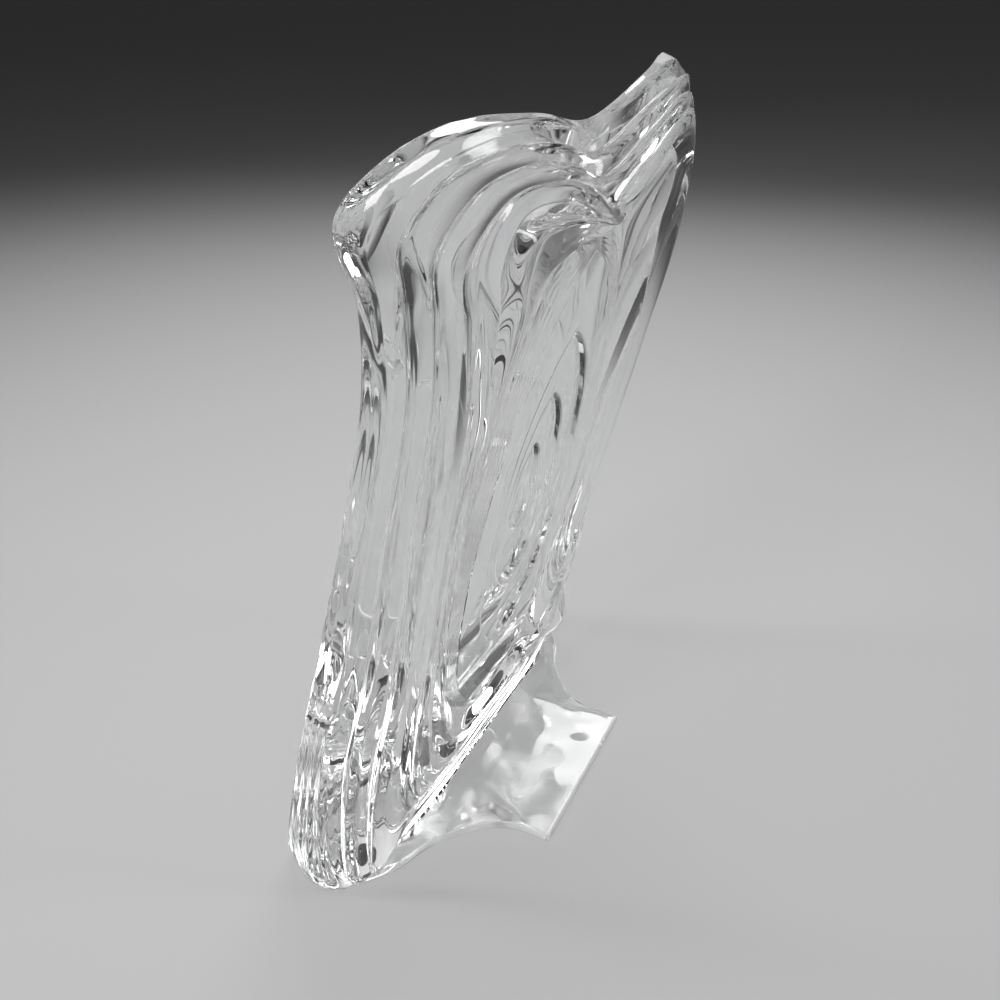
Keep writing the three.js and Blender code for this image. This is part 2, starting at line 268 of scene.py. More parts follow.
def spacing(outer: np.ndarray, inner: np.ndarray) -> np.ndarray:
    """The distance between two loops, station by station, as a column."""
    return np.linalg.norm(outer - inner, axis=1, keepdims=True)


def groove(
    outer: np.ndarray, inner: np.ndarray, core: np.ndarray, depth: float, steepest: float
) -> np.ndarray:
    """The groove between two crests, sunk towards the bowl.

    Args:
        outer: The crest outside the groove.
        inner: The crest inside it.
        core: The loop that it is sunk towards.
        depth: Its greatest depth in millimetres.
        steepest: Its greatest depth as a share of its width.

    Returns:
        The groove's loop.
    """
    middle = (outer + inner) / 2
    inward = core - middle
    inward /= np.linalg.norm(inward, axis=1, keepdims=True)
    return middle + inward * np.minimum(depth * MM, spacing(outer, inner) * steepest)


def hollow(
    outer: np.ndarray, inner: np.ndarray, place: float, depth: float, steepest: float
) -> np.ndarray:
    """A hollow between two crests, sunk straight back.

    Args:
        outer: The crest outside the hollow.
        inner: The crest inside it.
        place: Where it lies from the outer crest to the inner one, from 0 to 1.
        depth: Its greatest depth in millimetres.
        steepest: Its greatest depth as a share of its width.

    Returns:
        The hollow's loop.
    """
    middle = outer + (inner - outer) * place
    middle[:, :1] -= np.minimum(depth * MM, spacing(outer, inner) * steepest)
    return middle


def crowded(steps: int, crowding: float = 0.6) -> list[float]:
    """Places across a band from 0 to 1, closer together at its two ends and its crest."""
    even = [k / steps for k in range(steps + 1)]
    return [place - crowding * math.sin(2 * TURN * place) / (2 * TURN) for place in even]


def over_crest(
    start: np.ndarray, crest: np.ndarray, end: np.ndarray, shares: list[float], fullness: float
) -> list[np.ndarray]:
    """The rows of a rounded band from one loop over a crest to another.

    Args:
        start: The band's first row.
        crest: The row at its top, halfway across.
        end: The band's last row.
        shares: Places across the band, from 0 to 1.
        fullness: 2 for an even round, and more for a flatter top with steeper sides.

    Returns:
        One row for each place.
    """
    climb, fall = spacing(start, crest), spacing(crest, end)
    top = climb / (climb + fall)
    rise = crest - start * (1 - top) - end * top
    rows = []
    for share in shares:
        t = 2 * share * top if share < 0.5 else top + (2 * share - 1) * (1 - top)
        rows.append(start * (1 - t) + end * t + rise * (1 - abs(2 * share - 1) ** fullness))
    return rows


def across(lines: list[np.ndarray], steps: int, softness: float = 0.3) -> list[np.ndarray]:
    """The rows of a skin through several loops.

    Args:
        lines: The loops that the skin runs through.
        steps: How many strips lie between two loops.
        softness: 0.5 for an even curve, and less for a firmer bend along each loop.

    Returns:
        All rows, with the first and the last loop.
    """
    ends = [2 * lines[0] - lines[1], *lines, 2 * lines[-1] - lines[-2]]
    rows = []
    for k in range(len(lines) - 1):
        a, b, c, d = ends[k:k + 4]
        first, last = (c - a) * softness, (d - b) * softness
        rows += [curve(b, c, first, last, share) for share in np.arange(steps) / steps]
    return [*rows, lines[-1]]


def straight(start: np.ndarray, end: np.ndarray, steps: int) -> list[np.ndarray]:
    """The rows of a flat strip between two loops, without its first row."""
    return [start + (end - start) * k / steps for k in range(1, steps + 1)]


def forward(loop: np.ndarray, distance: float) -> np.ndarray:
    """A loop moved forward by some millimetres."""
    return loop + (distance * MM, 0, 0)


def evenly(rows: list[np.ndarray]) -> list[float]:
    """The places of evenly counted rows across their band, from 0 to 1."""
    return [k / (len(rows) - 1) for k in range(len(rows))]


@dataclass(frozen=True)
class Relief:
    """What the mould and the flow leave on a band: a crest line, flutes and slow ripples.

    The flutes are deepest low on the body, and all relief fades out just above the floor.
    Heights are in millimetres, a flute's depth is a share of its width, and places across the
    band run from 0 to 1.
    """

    crest: float = 0.5
    bead: float = 0.18
    bead_width: float = 0.035
    flutes: float = 3.0
    flute_from: float = 0.0
    flute_to: float = 1.0
    flute_low: float = 0.11
    flute_high: float = 0.001
    drift: float = 0.3
    plain_until: float = 9.0
    low_until: float = 20.0
    high_from: float = 95.0
    ripple: float = 0.02
    ripple_turns: float = 5.0
    seed: float = 0.0
    drift_seed: float = 50.0

    def _lift(self, share: float, turn: float, height: float, width: float) -> float:
        """How far the skin stands out at a place.

        Args:
            share: The place across the band.
            turn: The place along it, as an angle.
            height: Its height above the floor in millimetres.
            width: The band's width there in millimetres.

        Returns:
            The distance in millimetres.
        """
        around = (self.ripple_turns * math.cos(turn), self.ripple_turns * math.sin(turn))
        fall = (self.high_from - height) / (self.high_from - self.low_until)
        low = gentle(min(max(fall, 0), 1))
        swell = noise.noise(Vector((*around, self.seed + 2 * share)))
        lift = self.ripple * swell * math.sin(math.pi * share)
        lift += self.bead * math.exp(-(((share - self.crest) / self.bead_width) ** 2)) * (1 - low)
        place = (share - self.flute_from) / (self.flute_to - self.flute_from)
        if 0 < place < 1:
            drift = self.drift * noise.noise(Vector((*around, self.seed + self.drift_seed)))
            ridge = -math.cos(TURN * (self.flutes * place + drift * math.sin(math.pi * place)))
            steepness = self.flute_high + (self.flute_low - self.flute_high) * low
            lift += steepness * width / self.flutes * ridge * math.sin(math.pi * place) ** 0.5
        return lift * min(height / self.plain_until, 1)

    def over(
        self, rows: list[np.ndarray], shares: list[float], core: np.ndarray
    ) -> list[np.ndarray]:
        """The rows of a band with its relief.

        Args:
            rows: The band's smooth rows.
            shares: Their places across the band.
            core: The loop that the band faces away from.

        Returns:
            The rows with their relief.
        """
        widths = spacing(rows[0], rows[-1])[:, 0] / MM * (self.flute_to - self.flute_from)
        out = []
        for share, row in zip(shares, rows):
            away = row - core
            away /= np.linalg.norm(away, axis=1, keepdims=True)
            lifts = [
                self._lift(share, TURN * station / len(core), point[2] / MM, width)
                for station, (point, width) in enumerate(zip(row, widths))
            ]
            out.append(row + away * np.array(lifts)[:, None] * MM)
        return out


@dataclass
class Skin:
    """The rows that make a piece, and how the strips between them are finished."""

    rows: list[np.ndarray] = field(default_factory=list)
    faces: list[Face] = field(default_factory=list)

    def add(self, rows: list[np.ndarray], face: Face) -> Skin:
        """Adds rows, and the strips that lead to them.

        Args:
            rows: The new rows. The first may repeat the last row that the skin has.
            face: How the strips are finished.

        Returns:
            The skin itself.
        """
        if self.rows and np.allclose(self.rows[-1], rows[0], atol=SAME_ROW):
            rows = rows[1:]
        strips = len(rows) if self.rows else len(rows) - 1
        self.rows += rows
        self.faces += [face] * strips
        return self


@dataclass
class Lofter:
    """Turns a skin into a mesh: one ring of points drawn on from row to row.

    A strip that is marked has some stations with a finish of their own.
    """

    skin: Skin
    offset: float
    marked: dict[int, dict[int, Face]] = field(default_factory=dict)
    mesh: bmesh.types.BMesh = field(default_factory=bmesh.new)

    def _draw(
        self, ring: list[bmesh.types.BMVert], row: np.ndarray, strip: int
    ) -> list[bmesh.types.BMVert]:
        """Draws a ring out to the next row.

        Args:
            ring: The points of the last row.
            row: The places of the next.
            strip: The number of the strip between them.

        Returns:
            The points of the new row.
        """
        count = len(ring)
        stations = {vert: i for i, vert in enumerate(ring)}
        edges = [self.mesh.edges.get((ring[i], ring[(i + 1) % count])) for i in range(count)]
        made = bmesh.ops.extrude_edge_only(self.mesh, edges=edges)["geom"]
        fresh: list[bmesh.types.BMVert] = [ring[0]] * count
        for vert in (item for item in made if isinstance(item, bmesh.types.BMVert)):
            others = (edge.other_vert(vert) for edge in vert.link_edges)
            station = next(stations[other] for other in others if other in stations)
            fresh[station] = vert
            vert.co = Vector(row[station])
        finish = self.skin.faces[strip] if strip < len(self.skin.faces) else Face.BONDED
        marked = self.marked.get(strip, {})
        for face in (item for item in made if isinstance(item, bmesh.types.BMFace)):
            ends = {stations[vert] for vert in face.verts if vert in stations}
            station = count - 1 if ends == {0, count - 1} else min(ends)
            face.material_index = marked.get(station, finish).value
        return fresh

    def _start(self) -> list[bmesh.types.BMVert]:
        """The first row, as a circle drawn out to its places.

        Returns:
            Its points.
        """
        first = self.skin.rows[0]
        made = bmesh.ops.create_circle(self.mesh, cap_ends=False, radius=1, segments=len(first))
        for vert, place in zip(made["verts"], first):
            vert.co = Vector(place)
        return made["verts"]

    def _through(self, ring: list[bmesh.types.BMVert]) -> list[bmesh.types.BMVert]:
        """Draws the first row on through all the others.

        Args:
            ring: The points of the first row.

        Returns:
            The points of the last.
        """
        for strip, row in enumerate(self.skin.rows[1:]):
            ring = self._draw(ring, row, strip)
        return ring

    def ring(self, name: str) -> bpy.types.Object:
        """A piece whose last row joins its first, as a frame's does.

        Args:
            name: The piece's name.

        Returns:
            The new object.
        """
        last = self._through(self._start())
        self._draw(last, self.skin.rows[0], len(self.skin.rows) - 1)
        return self._finish(name)

    def plate(self, name: str, start: np.ndarray, end: np.ndarray) -> bpy.types.Object:
        """A piece whose first and last rows close at a point each.

        Args:
            name: The piece's name.
            start: The point that closes the first row.
            end: The point that closes the last.

        Returns:
            The new object.
        """
        first = self._start()
        last = self._through(first)
        for ring, point, strip in ((last, end, len(self.skin.faces) - 1), (first, start, 0)):
            tip = self._draw(ring, np.tile(point, (len(ring), 1)), strip)
            bmesh.ops.pointmerge(self.mesh, verts=tip, merge_co=Vector(point))
        return self._finish(name)

    def _finish(self, name: str) -> bpy.types.Object:
        """Closes the mesh, turns its faces outwards and makes the object.

        The edges round a bonded face are sharp, so that it doesn't bend the light on its
        neighbours.

        Args:
            name: The piece's name.

        Returns:
            The new object.
        """
        bm = self.mesh
        bmesh.ops.remove_doubles(bm, verts=bm.verts, dist=SAME_POINT)
        bmesh.ops.dissolve_degenerate(bm, edges=bm.edges, dist=SAME_POINT)
        lowest, highest = CAD_BOX
        for vert in bm.verts:
            vert.co.x += self.offset
            vert.co = Vector(
                max(low, min(high, at)) for low, at, high in zip(lowest, vert.co, highest)
            )
        bmesh.ops.recalc_face_normals(bm, faces=bm.faces)
        if bm.calc_volume(signed=True) < 0:
            bmesh.ops.reverse_faces(bm, faces=bm.faces)
        for face in bm.faces:
            face.smooth = True
        for edge in bm.edges:
            kinds = {face.material_index == Face.BONDED.value for face in edge.link_faces}
            edge.smooth = len(kinds) == 1
        return linked_mesh(name, bm)


def linked_mesh(name: str, bm: bmesh.types.BMesh) -> bpy.types.Object:
    """Makes an object of a bmesh, and frees the bmesh.

    Args:
        name: The object's name.
        bm: Its mesh.

    Returns:
        The new object, in the scene.
    """
    mesh = bpy.data.meshes.new(name)
    bm.to_mesh(mesh)
    bm.free()
    made = bpy.data.objects.new(name, mesh)
    bpy.context.scene.collection.objects.link(made)
    return made


class Effects:
    """Shader node groups that more than one finish uses."""

    LINES = "drawn_lines"
    LINE_DETAIL = 1.0
    LINE_ROUGHNESS = 0.55
    MASK_FROM = 0.52
    MASK_TO = 0.72

    @staticmethod
    def _group(
        name: str, inputs: dict[str, float], outputs: tuple[str, ...]
    ) -> bpy.types.ShaderNodeTree:
        """A new node group with named sockets, which hold plain values.

        Args:
            name: The group's name.
            inputs: Input names with their default values.
            outputs: Output names.

        Returns:
            The group's node tree.
        """
        tree = bpy.data.node_groups.new(name, "ShaderNodeTree")
        new_socket, kind = tree.interface.new_socket, "NodeSocketFloat"
        for label, value in inputs.items():
            new_socket(name=label, in_out="INPUT", socket_type=kind).default_value = value
        for label in outputs:
            new_socket(name=label, in_out="OUTPUT", socket_type=kind)
        return tree

    @staticmethod
    def _math(
        tree: bpy.types.ShaderNodeTree, operation: str, *values: bpy.types.NodeSocket
    ) -> bpy.types.NodeSocket:
        """Adds a Math node.

        Args:
            tree: The group that it goes into.
            operation: What it does.
            values: What it does it with.

        Returns:
            The result's socket.
        """
        node = tree.nodes.new("ShaderNodeMath")
        node.operation = operation
        for value, socket in zip(values, node.inputs):
            tree.links.new(value, socket)
        return node.outputs[0]

    @classmethod
    def draw_lines(cls) -> bpy.types.ShaderNodeTree:
        """The group of fine lines drawn out along the crystal's height."""
        return bpy.data.node_groups.get(cls.LINES) or cls._drawn_lines()

    @classmethod
    def _drawn_lines(cls) -> bpy.types.ShaderNodeTree:
        """Makes the group of fine lines, which gives their height and a mask.

        Returns:
            The group's node tree.
        """
        scales = {"Across": 260.0, "Along": 22.0, "Lean": 0.235}
        tree = cls._group(cls.LINES, scales, ("Height", "Mask"))
        nodes, links = tree.nodes, tree.links
        given = nodes.new("NodeGroupInput").outputs
        out = nodes.new("NodeGroupOutput").inputs
        where = nodes.new("ShaderNodeTexCoord")
        parts = nodes.new("ShaderNodeSeparateXYZ")
        links.new(where.outputs["Object"], parts.inputs[0])
        x, y, z = parts.outputs
        upright = cls._math(tree, "SUBTRACT", x, cls._math(tree, "MULTIPLY", z, given["Lean"]))
        joined = nodes.new("ShaderNodeCombineXYZ")
        drawn = ((upright, "Across"), (y, "Across"), (z, "Along"))
        for (source, scale), socket in zip(drawn, joined.inputs):
            links.new(cls._math(tree, "MULTIPLY", source, given[scale]), socket)
        lines = nodes.new("ShaderNodeTexNoise")
        lines.inputs["Scale"].default_value = 1.0
        lines.inputs["Detail"].default_value = cls.LINE_DETAIL
        lines.inputs["Roughness"].default_value = cls.LINE_ROUGHNESS
        links.new(joined.outputs[0], lines.inputs["Vector"])
        links.new(lines.outputs["Fac"], out["Height"])
        mask = nodes.new("ShaderNodeMapRange")
        mask.inputs["From Min"].default_value = cls.MASK_FROM
        mask.inputs["From Max"].default_value = cls.MASK_TO
        links.new(lines.outputs["Fac"], mask.inputs["Value"])
        links.new(mask.outputs[0], out["Mask"])
        return tree


@dataclass(frozen=True)
class Crystal:
    """Clear crystal with lines drawn out along it, or the faint unevenness of a polished face."""

    name: str
    tint: tuple[float, float, float]
    shade: tuple[float, float, float]
    roughness: float = 0.0
    line_roughness: float = 0.03
    line_height: float = 0.0000015
    across: float = 260.0
    along: float = 22.0
    index: float = 1.54
    transmission: float = 1.0
    shadow: float = 0.9

    def material(self) -> bpy.types.Material:
        """The material, made the first time."""
        return bpy.data.materials.get(self.name) or self._made()

    def _made(self) -> bpy.types.Material:
        """Makes the material: glass, with a clear stand-in for what lamps see.

        Returns:
            The material.
        """
        mat = bpy.data.materials.new(self.name)
        mat.use_nodes = True
        nodes, links = mat.node_tree.nodes, mat.node_tree.links
        glass = nodes["Principled BSDF"]
        glass.inputs["IOR"].default_value = self.index
        glass.inputs["Metallic"].default_value = 0.0
        glass.inputs["Transmission Weight"].default_value = self.transmission
        self._line(mat.node_tree, glass)
        path = nodes.new("ShaderNodeLightPath")
        lit = nodes.new("ShaderNodeBsdfTransparent")
        lit.inputs["Color"].default_value = (self.shadow, self.shadow, self.shadow, 1)
        either = nodes.new("ShaderNodeMixShader")
        links.new(path.outputs["Is Shadow Ray"], either.inputs[0])
        links.new(glass.outputs[0], either.inputs[1])
        links.new(lit.outputs[0], either.inputs[2])
        links.new(either.outputs[0], nodes["Material Output"].inputs["Surface"])
        return mat

    def _line(self, tree: bpy.types.ShaderNodeTree, glass: bpy.types.ShaderNode) -> None:
        """Lets the drawn lines change the glass's colour, roughness and relief.

        Args:
            tree: The material's node tree.
            glass: Its glass shader.
        """
        nodes, links = tree.nodes, tree.links
        drawn = nodes.new("ShaderNodeGroup")
        drawn.node_tree = Effects.draw_lines()
        drawn.inputs["Across"].default_value = self.across
        drawn.inputs["Along"].default_value = self.along
        tone = nodes.new("ShaderNodeMix")
        tone.data_type = "RGBA"
        tone.inputs["A"].default_value = (*self.tint, 1)
        tone.inputs["B"].default_value = (*self.shade, 1)
        links.new(drawn.outputs["Mask"], tone.inputs["Factor"])
        links.new(tone.outputs["Result"], glass.inputs["Base Color"])
        gloss = nodes.new("ShaderNodeMapRange")
        gloss.inputs["To Min"].default_value = self.roughness
        gloss.inputs["To Max"].default_value = self.line_roughness
        links.new(drawn.outputs["Mask"], gloss.inputs["Value"])
        links.new(gloss.outputs[0], glass.inputs["Roughness"])
        bump = nodes.new("ShaderNodeBump")
        bump.inputs["Strength"].default_value = 1.0
        bump.inputs["Distance"].default_value = self.line_height
        links.new(drawn.outputs["Height"], bump.inputs["Height"])
        links.new(bump.outputs[0], glass.inputs["Normal"])


@dataclass(frozen=True)
class Bond:
    """The seam between two bonded pieces, through which light passes straight on."""

    name: str = "bond_seam"

    def material(self) -> bpy.types.Material:
        """The material, made the first time."""
        return bpy.data.materials.get(self.name) or self._made()

    def _made(self) -> bpy.types.Material:
        """Makes the material.

        Returns:
            The material.
        """
        mat = bpy.data.materials.new(self.name)
        mat.use_nodes = True
        nodes, links = mat.node_tree.nodes, mat.node_tree.links
        nodes.remove(nodes["Principled BSDF"])
        clear = nodes.new("ShaderNodeBsdfTransparent")
        links.new(clear.outputs[0], nodes["Material Output"].inputs["Surface"])
        return mat


@dataclass(frozen=True)
class Finish:
    """The finishes of a piece's faces, and the record's slot that they belong to."""

    slot: str
    drawn: Crystal
    polished: Crystal
    bonded: Bond = Bond()

    def material(self, face: Face) -> bpy.types.Material:
        """The material for one kind of face."""
        kinds = {Face.DRAWN: self.drawn, Face.POLISHED: self.polished, Face.BONDED: self.bonded}
        return kinds[face].material()


CLEAR_TINT = (0.988, 0.994, 0.991)
CLEAR_SHADE = (0.96, 0.972, 0.967)
TERRACE_TINT = (0.975, 0.99, 0.984)
BODY_FINISH = Finish(
    slot="crystal_body",
    drawn=Crystal("drawn_crystal", CLEAR_TINT, CLEAR_SHADE),
    polished=Crystal(
        "polished_crystal", CLEAR_TINT, CLEAR_SHADE,
        line_height=0.0000025, across=70.0, along=50.0,
    ),
)
TERRACE_FINISH = Finish(
    slot="crystal_medallion",
    drawn=Crystal("terrace_step_crystal", TERRACE_TINT, (0.94, 0.965, 0.955)),
    polished=Crystal(
        "terrace_crystal", TERRACE_TINT, (0.95, 0.972, 0.962),
        line_height=0.000003, across=60.0, along=40.0,
    ),
)
FOOT_FINISH = Finish(
    slot="crystal_foot",
    drawn=Crystal(
        "foot_edge_crystal", CLEAR_TINT, CLEAR_SHADE, roughness=0.12, line_roughness=0.3,
        line_height=0.00003, across=220.0, along=220.0, transmission=0.4,
    ),
    polished=Crystal(
        "milky_crystal", CLEAR_TINT, CLEAR_SHADE, roughness=0.05, line_roughness=0.35,
        line_height=0.00005, across=70.0, along=70.0, transmission=0.97,
    ),
)


def dress(piece: bpy.types.Object, finish: Finish, node: str) -> bpy.types.Object:
    """Gives a piece its finish and its body, and hides the node that it stands for.

    Args:
        piece: The new piece.
        finish: Its finish.
        node: The name of the node.

    Returns:
        The piece.
    """
    used = sorted({face.material_index for face in piece.data.polygons})
    for face in piece.data.polygons:
        face.material_index = used.index(face.material_index)
    for index in used:
        piece.data.materials.append(finish.material(Face(index)))
    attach(piece, "root")
    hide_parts(node)
    LOG.info("%s: %d faces", piece.name, len(piece.data.polygons))
    return piece


@dataclass
class Form:
    """The loops that the leaves, the bowl and the foot share."""

    loops: Loops = Loops()
    groove_depth: float = 5.6
    groove_steepest: float = 0.9
    flank_place: float = 0.5
    flank_depth: float = 4.0
    flank_steepest: float = 0.4
    channel_place: float = 0.62
    channel_depth: float = 3.4
    channel_steepest: float = 0.16
    rim_rise: float = 0.5
    seat_depth: float = 12.0
    leaf_step: float = 1.6
    leaf_count: int = 4
    bond_steps: int = 3
    bond_gap: float = 0.02

    def __post_init__(self) -> None:
        """Draws every loop once."""
        sketch, draw = self.loops.sketch, self.loops.through
        self.back_edge = draw(sketch.back_edge)
        self.back_belly = draw(sketch.back_belly)
        outer = (sketch.first_crest, sketch.second_crest, sketch.third_crest)
        self.crests = [draw(crest) for crest in outer]
        self.fourth_crest = draw(sketch.fourth_crest)
        self.fourth_lip = draw(sketch.fourth_lip)
        self.bowl_crest = draw(sketch.bowl_crest)
        self.bowl_rim = self.loops.rim(-self.rim_rise)
        self.seats = [
            self.loops.rim(self.seat_depth - leaf * self.leaf_step)
            for leaf in range(self.leaf_count)
        ]
        chain = [*self.crests, self.fourth_crest]
        self.grooves = [
            groove(before, after, seat, self.groove_depth, self.groove_steepest)
            for before, after, seat in zip(chain, chain[1:], self.seats)
        ]
        self.bowl_groove = hollow(
            self.fourth_lip, self.bowl_crest,
            self.flank_place, self.flank_depth, self.flank_steepest,
        )
        self.channel = hollow(
            self.bowl_crest, self.bowl_rim,
            self.channel_place, self.channel_depth, self.channel_steepest,
        )
        self.offset = CAD_BOX[0].x - float(self.back_edge[:, 0].min())

    def sill(self) -> tuple[int, int]:
        """The stations of the foot's root and of the middle of the sill."""
        steps = self.loops.steps
        return self.loops.corner_place * steps + steps // 3, len(self.back_belly) // 2


@dataclass
class Body:
    """The back plate and the three leaves that stand on it, one in front of the other."""

    form: Form
    back_start: float = -36.0
    back_lean: float = 0.235
    back_middle: float = 112.0
    back_from: float = 0.06
    back_to: float = 0.96
    back_rows: int = 26
    sweep_power: float = 3.0
    edge_round: float = 0.012
    edge_share: float = 0.048
    edge_softness: float = 0.45
    side_steps: int = 14
    band_steps: int = 36
    fullness: float = 2.9
    fourth_fullness: float = 2.0
    back_relief: Relief = Relief(crest=2 / 3, bead_width=0.02, flutes=6, seed=3.0)
    fourth_relief: Relief = Relief(flutes=4, seed=29.0)
    leaf_seed: float = 7.0

    def _back_row(self, share: float) -> np.ndarray:
        """A row of the back surface.

        Args:
            share: How far it lies from the back's middle to its edge.

        Returns:
            The row.
        """
        middle = np.array((0, 0, self.back_middle * MM))
        edge = self.form.back_edge
        row = middle + (edge - middle) * share
        sweep = edge[:, 0] - self._back_plane(edge[:, 2])
        row[:, 0] = self._back_plane(row[:, 2]) + sweep * share**self.sweep_power
        return row

    def _back_plane(self, heights: np.ndarray) -> np.ndarray:
        """The depth of the back's leaning plane at some heights."""
        return self.back_start * MM + self.back_lean * heights

    def back_plate(self) -> bpy.types.Object:
        """The widest leaf, with its swept wing tips and the block that stands on the floor.

        Returns:
            The plate.
        """
        form = self.form
        seat, edge, belly = form.seats[0], form.back_edge, form.back_belly
        shares = [*np.linspace(self.back_from, self.back_to, self.back_rows), 1 - self.edge_round]
        near_edge = edge + (belly - edge) * self.edge_share
        lines = [near_edge, belly, form.crests[0], form.grooves[0]]
        band = across(lines, self.side_steps, self.edge_softness)
        band = self.back_relief.over(band, evenly(band), seat)
        skin = Skin()
        skin.add([self._back_row(share) for share in shares], Face.POLISHED)
        skin.add([edge], Face.POLISHED).add(band, Face.DRAWN)
        skin.add(straight(form.grooves[0], seat, form.bond_steps), Face.BONDED)
        skin.add(straight(seat, (seat + seat.mean(0)) / 2, 1), Face.BONDED)
        centre = np.array((0, 0, self.back_middle * MM))
        centre[0] = self._back_plane(centre[2])
        lofter = Lofter(skin, form.offset, self._behind_foot(skin))
        piece = lofter.plate("back_plate_crystal", centre, seat.mean(0))
        return dress(piece, BODY_FINISH, "back_plate")

    def _behind_foot(self, skin: Skin) -> dict[int, dict[int, Face]]:
        """The part of the sill that the foot is bonded to, between the belly and the crest.

        Args:
            skin: The back plate's whole skin.

        Returns:
            Its stations, by strip.
        """
        root, middle = self.form.sill()
        stations = dict.fromkeys(range(root, 2 * middle - root), Face.BONDED)
        start = len(skin.faces) - (self.form.bond_steps + 1) - 2 * self.side_steps
        return {start + k: stations for k in range(self.side_steps)}

    def leaf(self, name: str, place: int) -> bpy.types.Object:
        """A heart-shaped frame between its two neighbours.

        Args:
            name: The node that it stands for.
            place: Its place, from 1 for the second leaf.

        Returns:
            The leaf.
        """
        form = self.form
        back, front = form.seats[place - 1], form.seats[place]
        start = forward(form.grooves[place - 1], form.bond_gap)
        end = form.grooves[place]
        places = crowded(self.band_steps)
        band = over_crest(start, form.crests[place], end, places, self.fullness)
        band = Relief(seed=self.leaf_seed * place).over(band, places, front)
        skin = Skin().add(band, Face.POLISHED)
        skin.add(straight(end, front, form.bond_steps), Face.BONDED)
        skin.add([forward(back, form.bond_gap)], Face.BONDED)
        return dress(Lofter(skin, form.offset).ring(f"{name}_crystal"), BODY_FINISH, name)

    def fourth_leaf(self) -> bpy.types.Object:
        """The leaf with the lip that looks down into the bowl.

        Returns:
            The leaf.
        """
        form = self.form
        crest, lip, end, front = form.fourth_crest, form.fourth_lip, form.bowl_groove, form.seats[3]
        start = forward(form.grooves[2], form.bond_gap)
        places = crowded(self.band_steps)
        band = over_crest(start, crest, lip, places, self.fourth_fullness)
        band = self.fourth_relief.over(band, places, front)
        flank = across([crest, lip, end], self.side_steps)[self.side_steps:]
        skin = Skin().add(band, Face.DRAWN).add(flank, Face.POLISHED)
        skin.add(straight(end, front, form.bond_steps), Face.BONDED)
        skin.add([forward(form.seats[2], form.bond_gap)], Face.BONDED)
        piece = Lofter(skin, form.offset).ring("fourth_leaf_crystal")
        return dress(piece, BODY_FINISH, "fourth_leaf")

    def build(self) -> None:
        """Builds the back plate and its leaves."""
        self.back_plate()
        self.leaf("second_leaf", 1)
        self.leaf("third_leaf", 2)
        self.fourth_leaf()


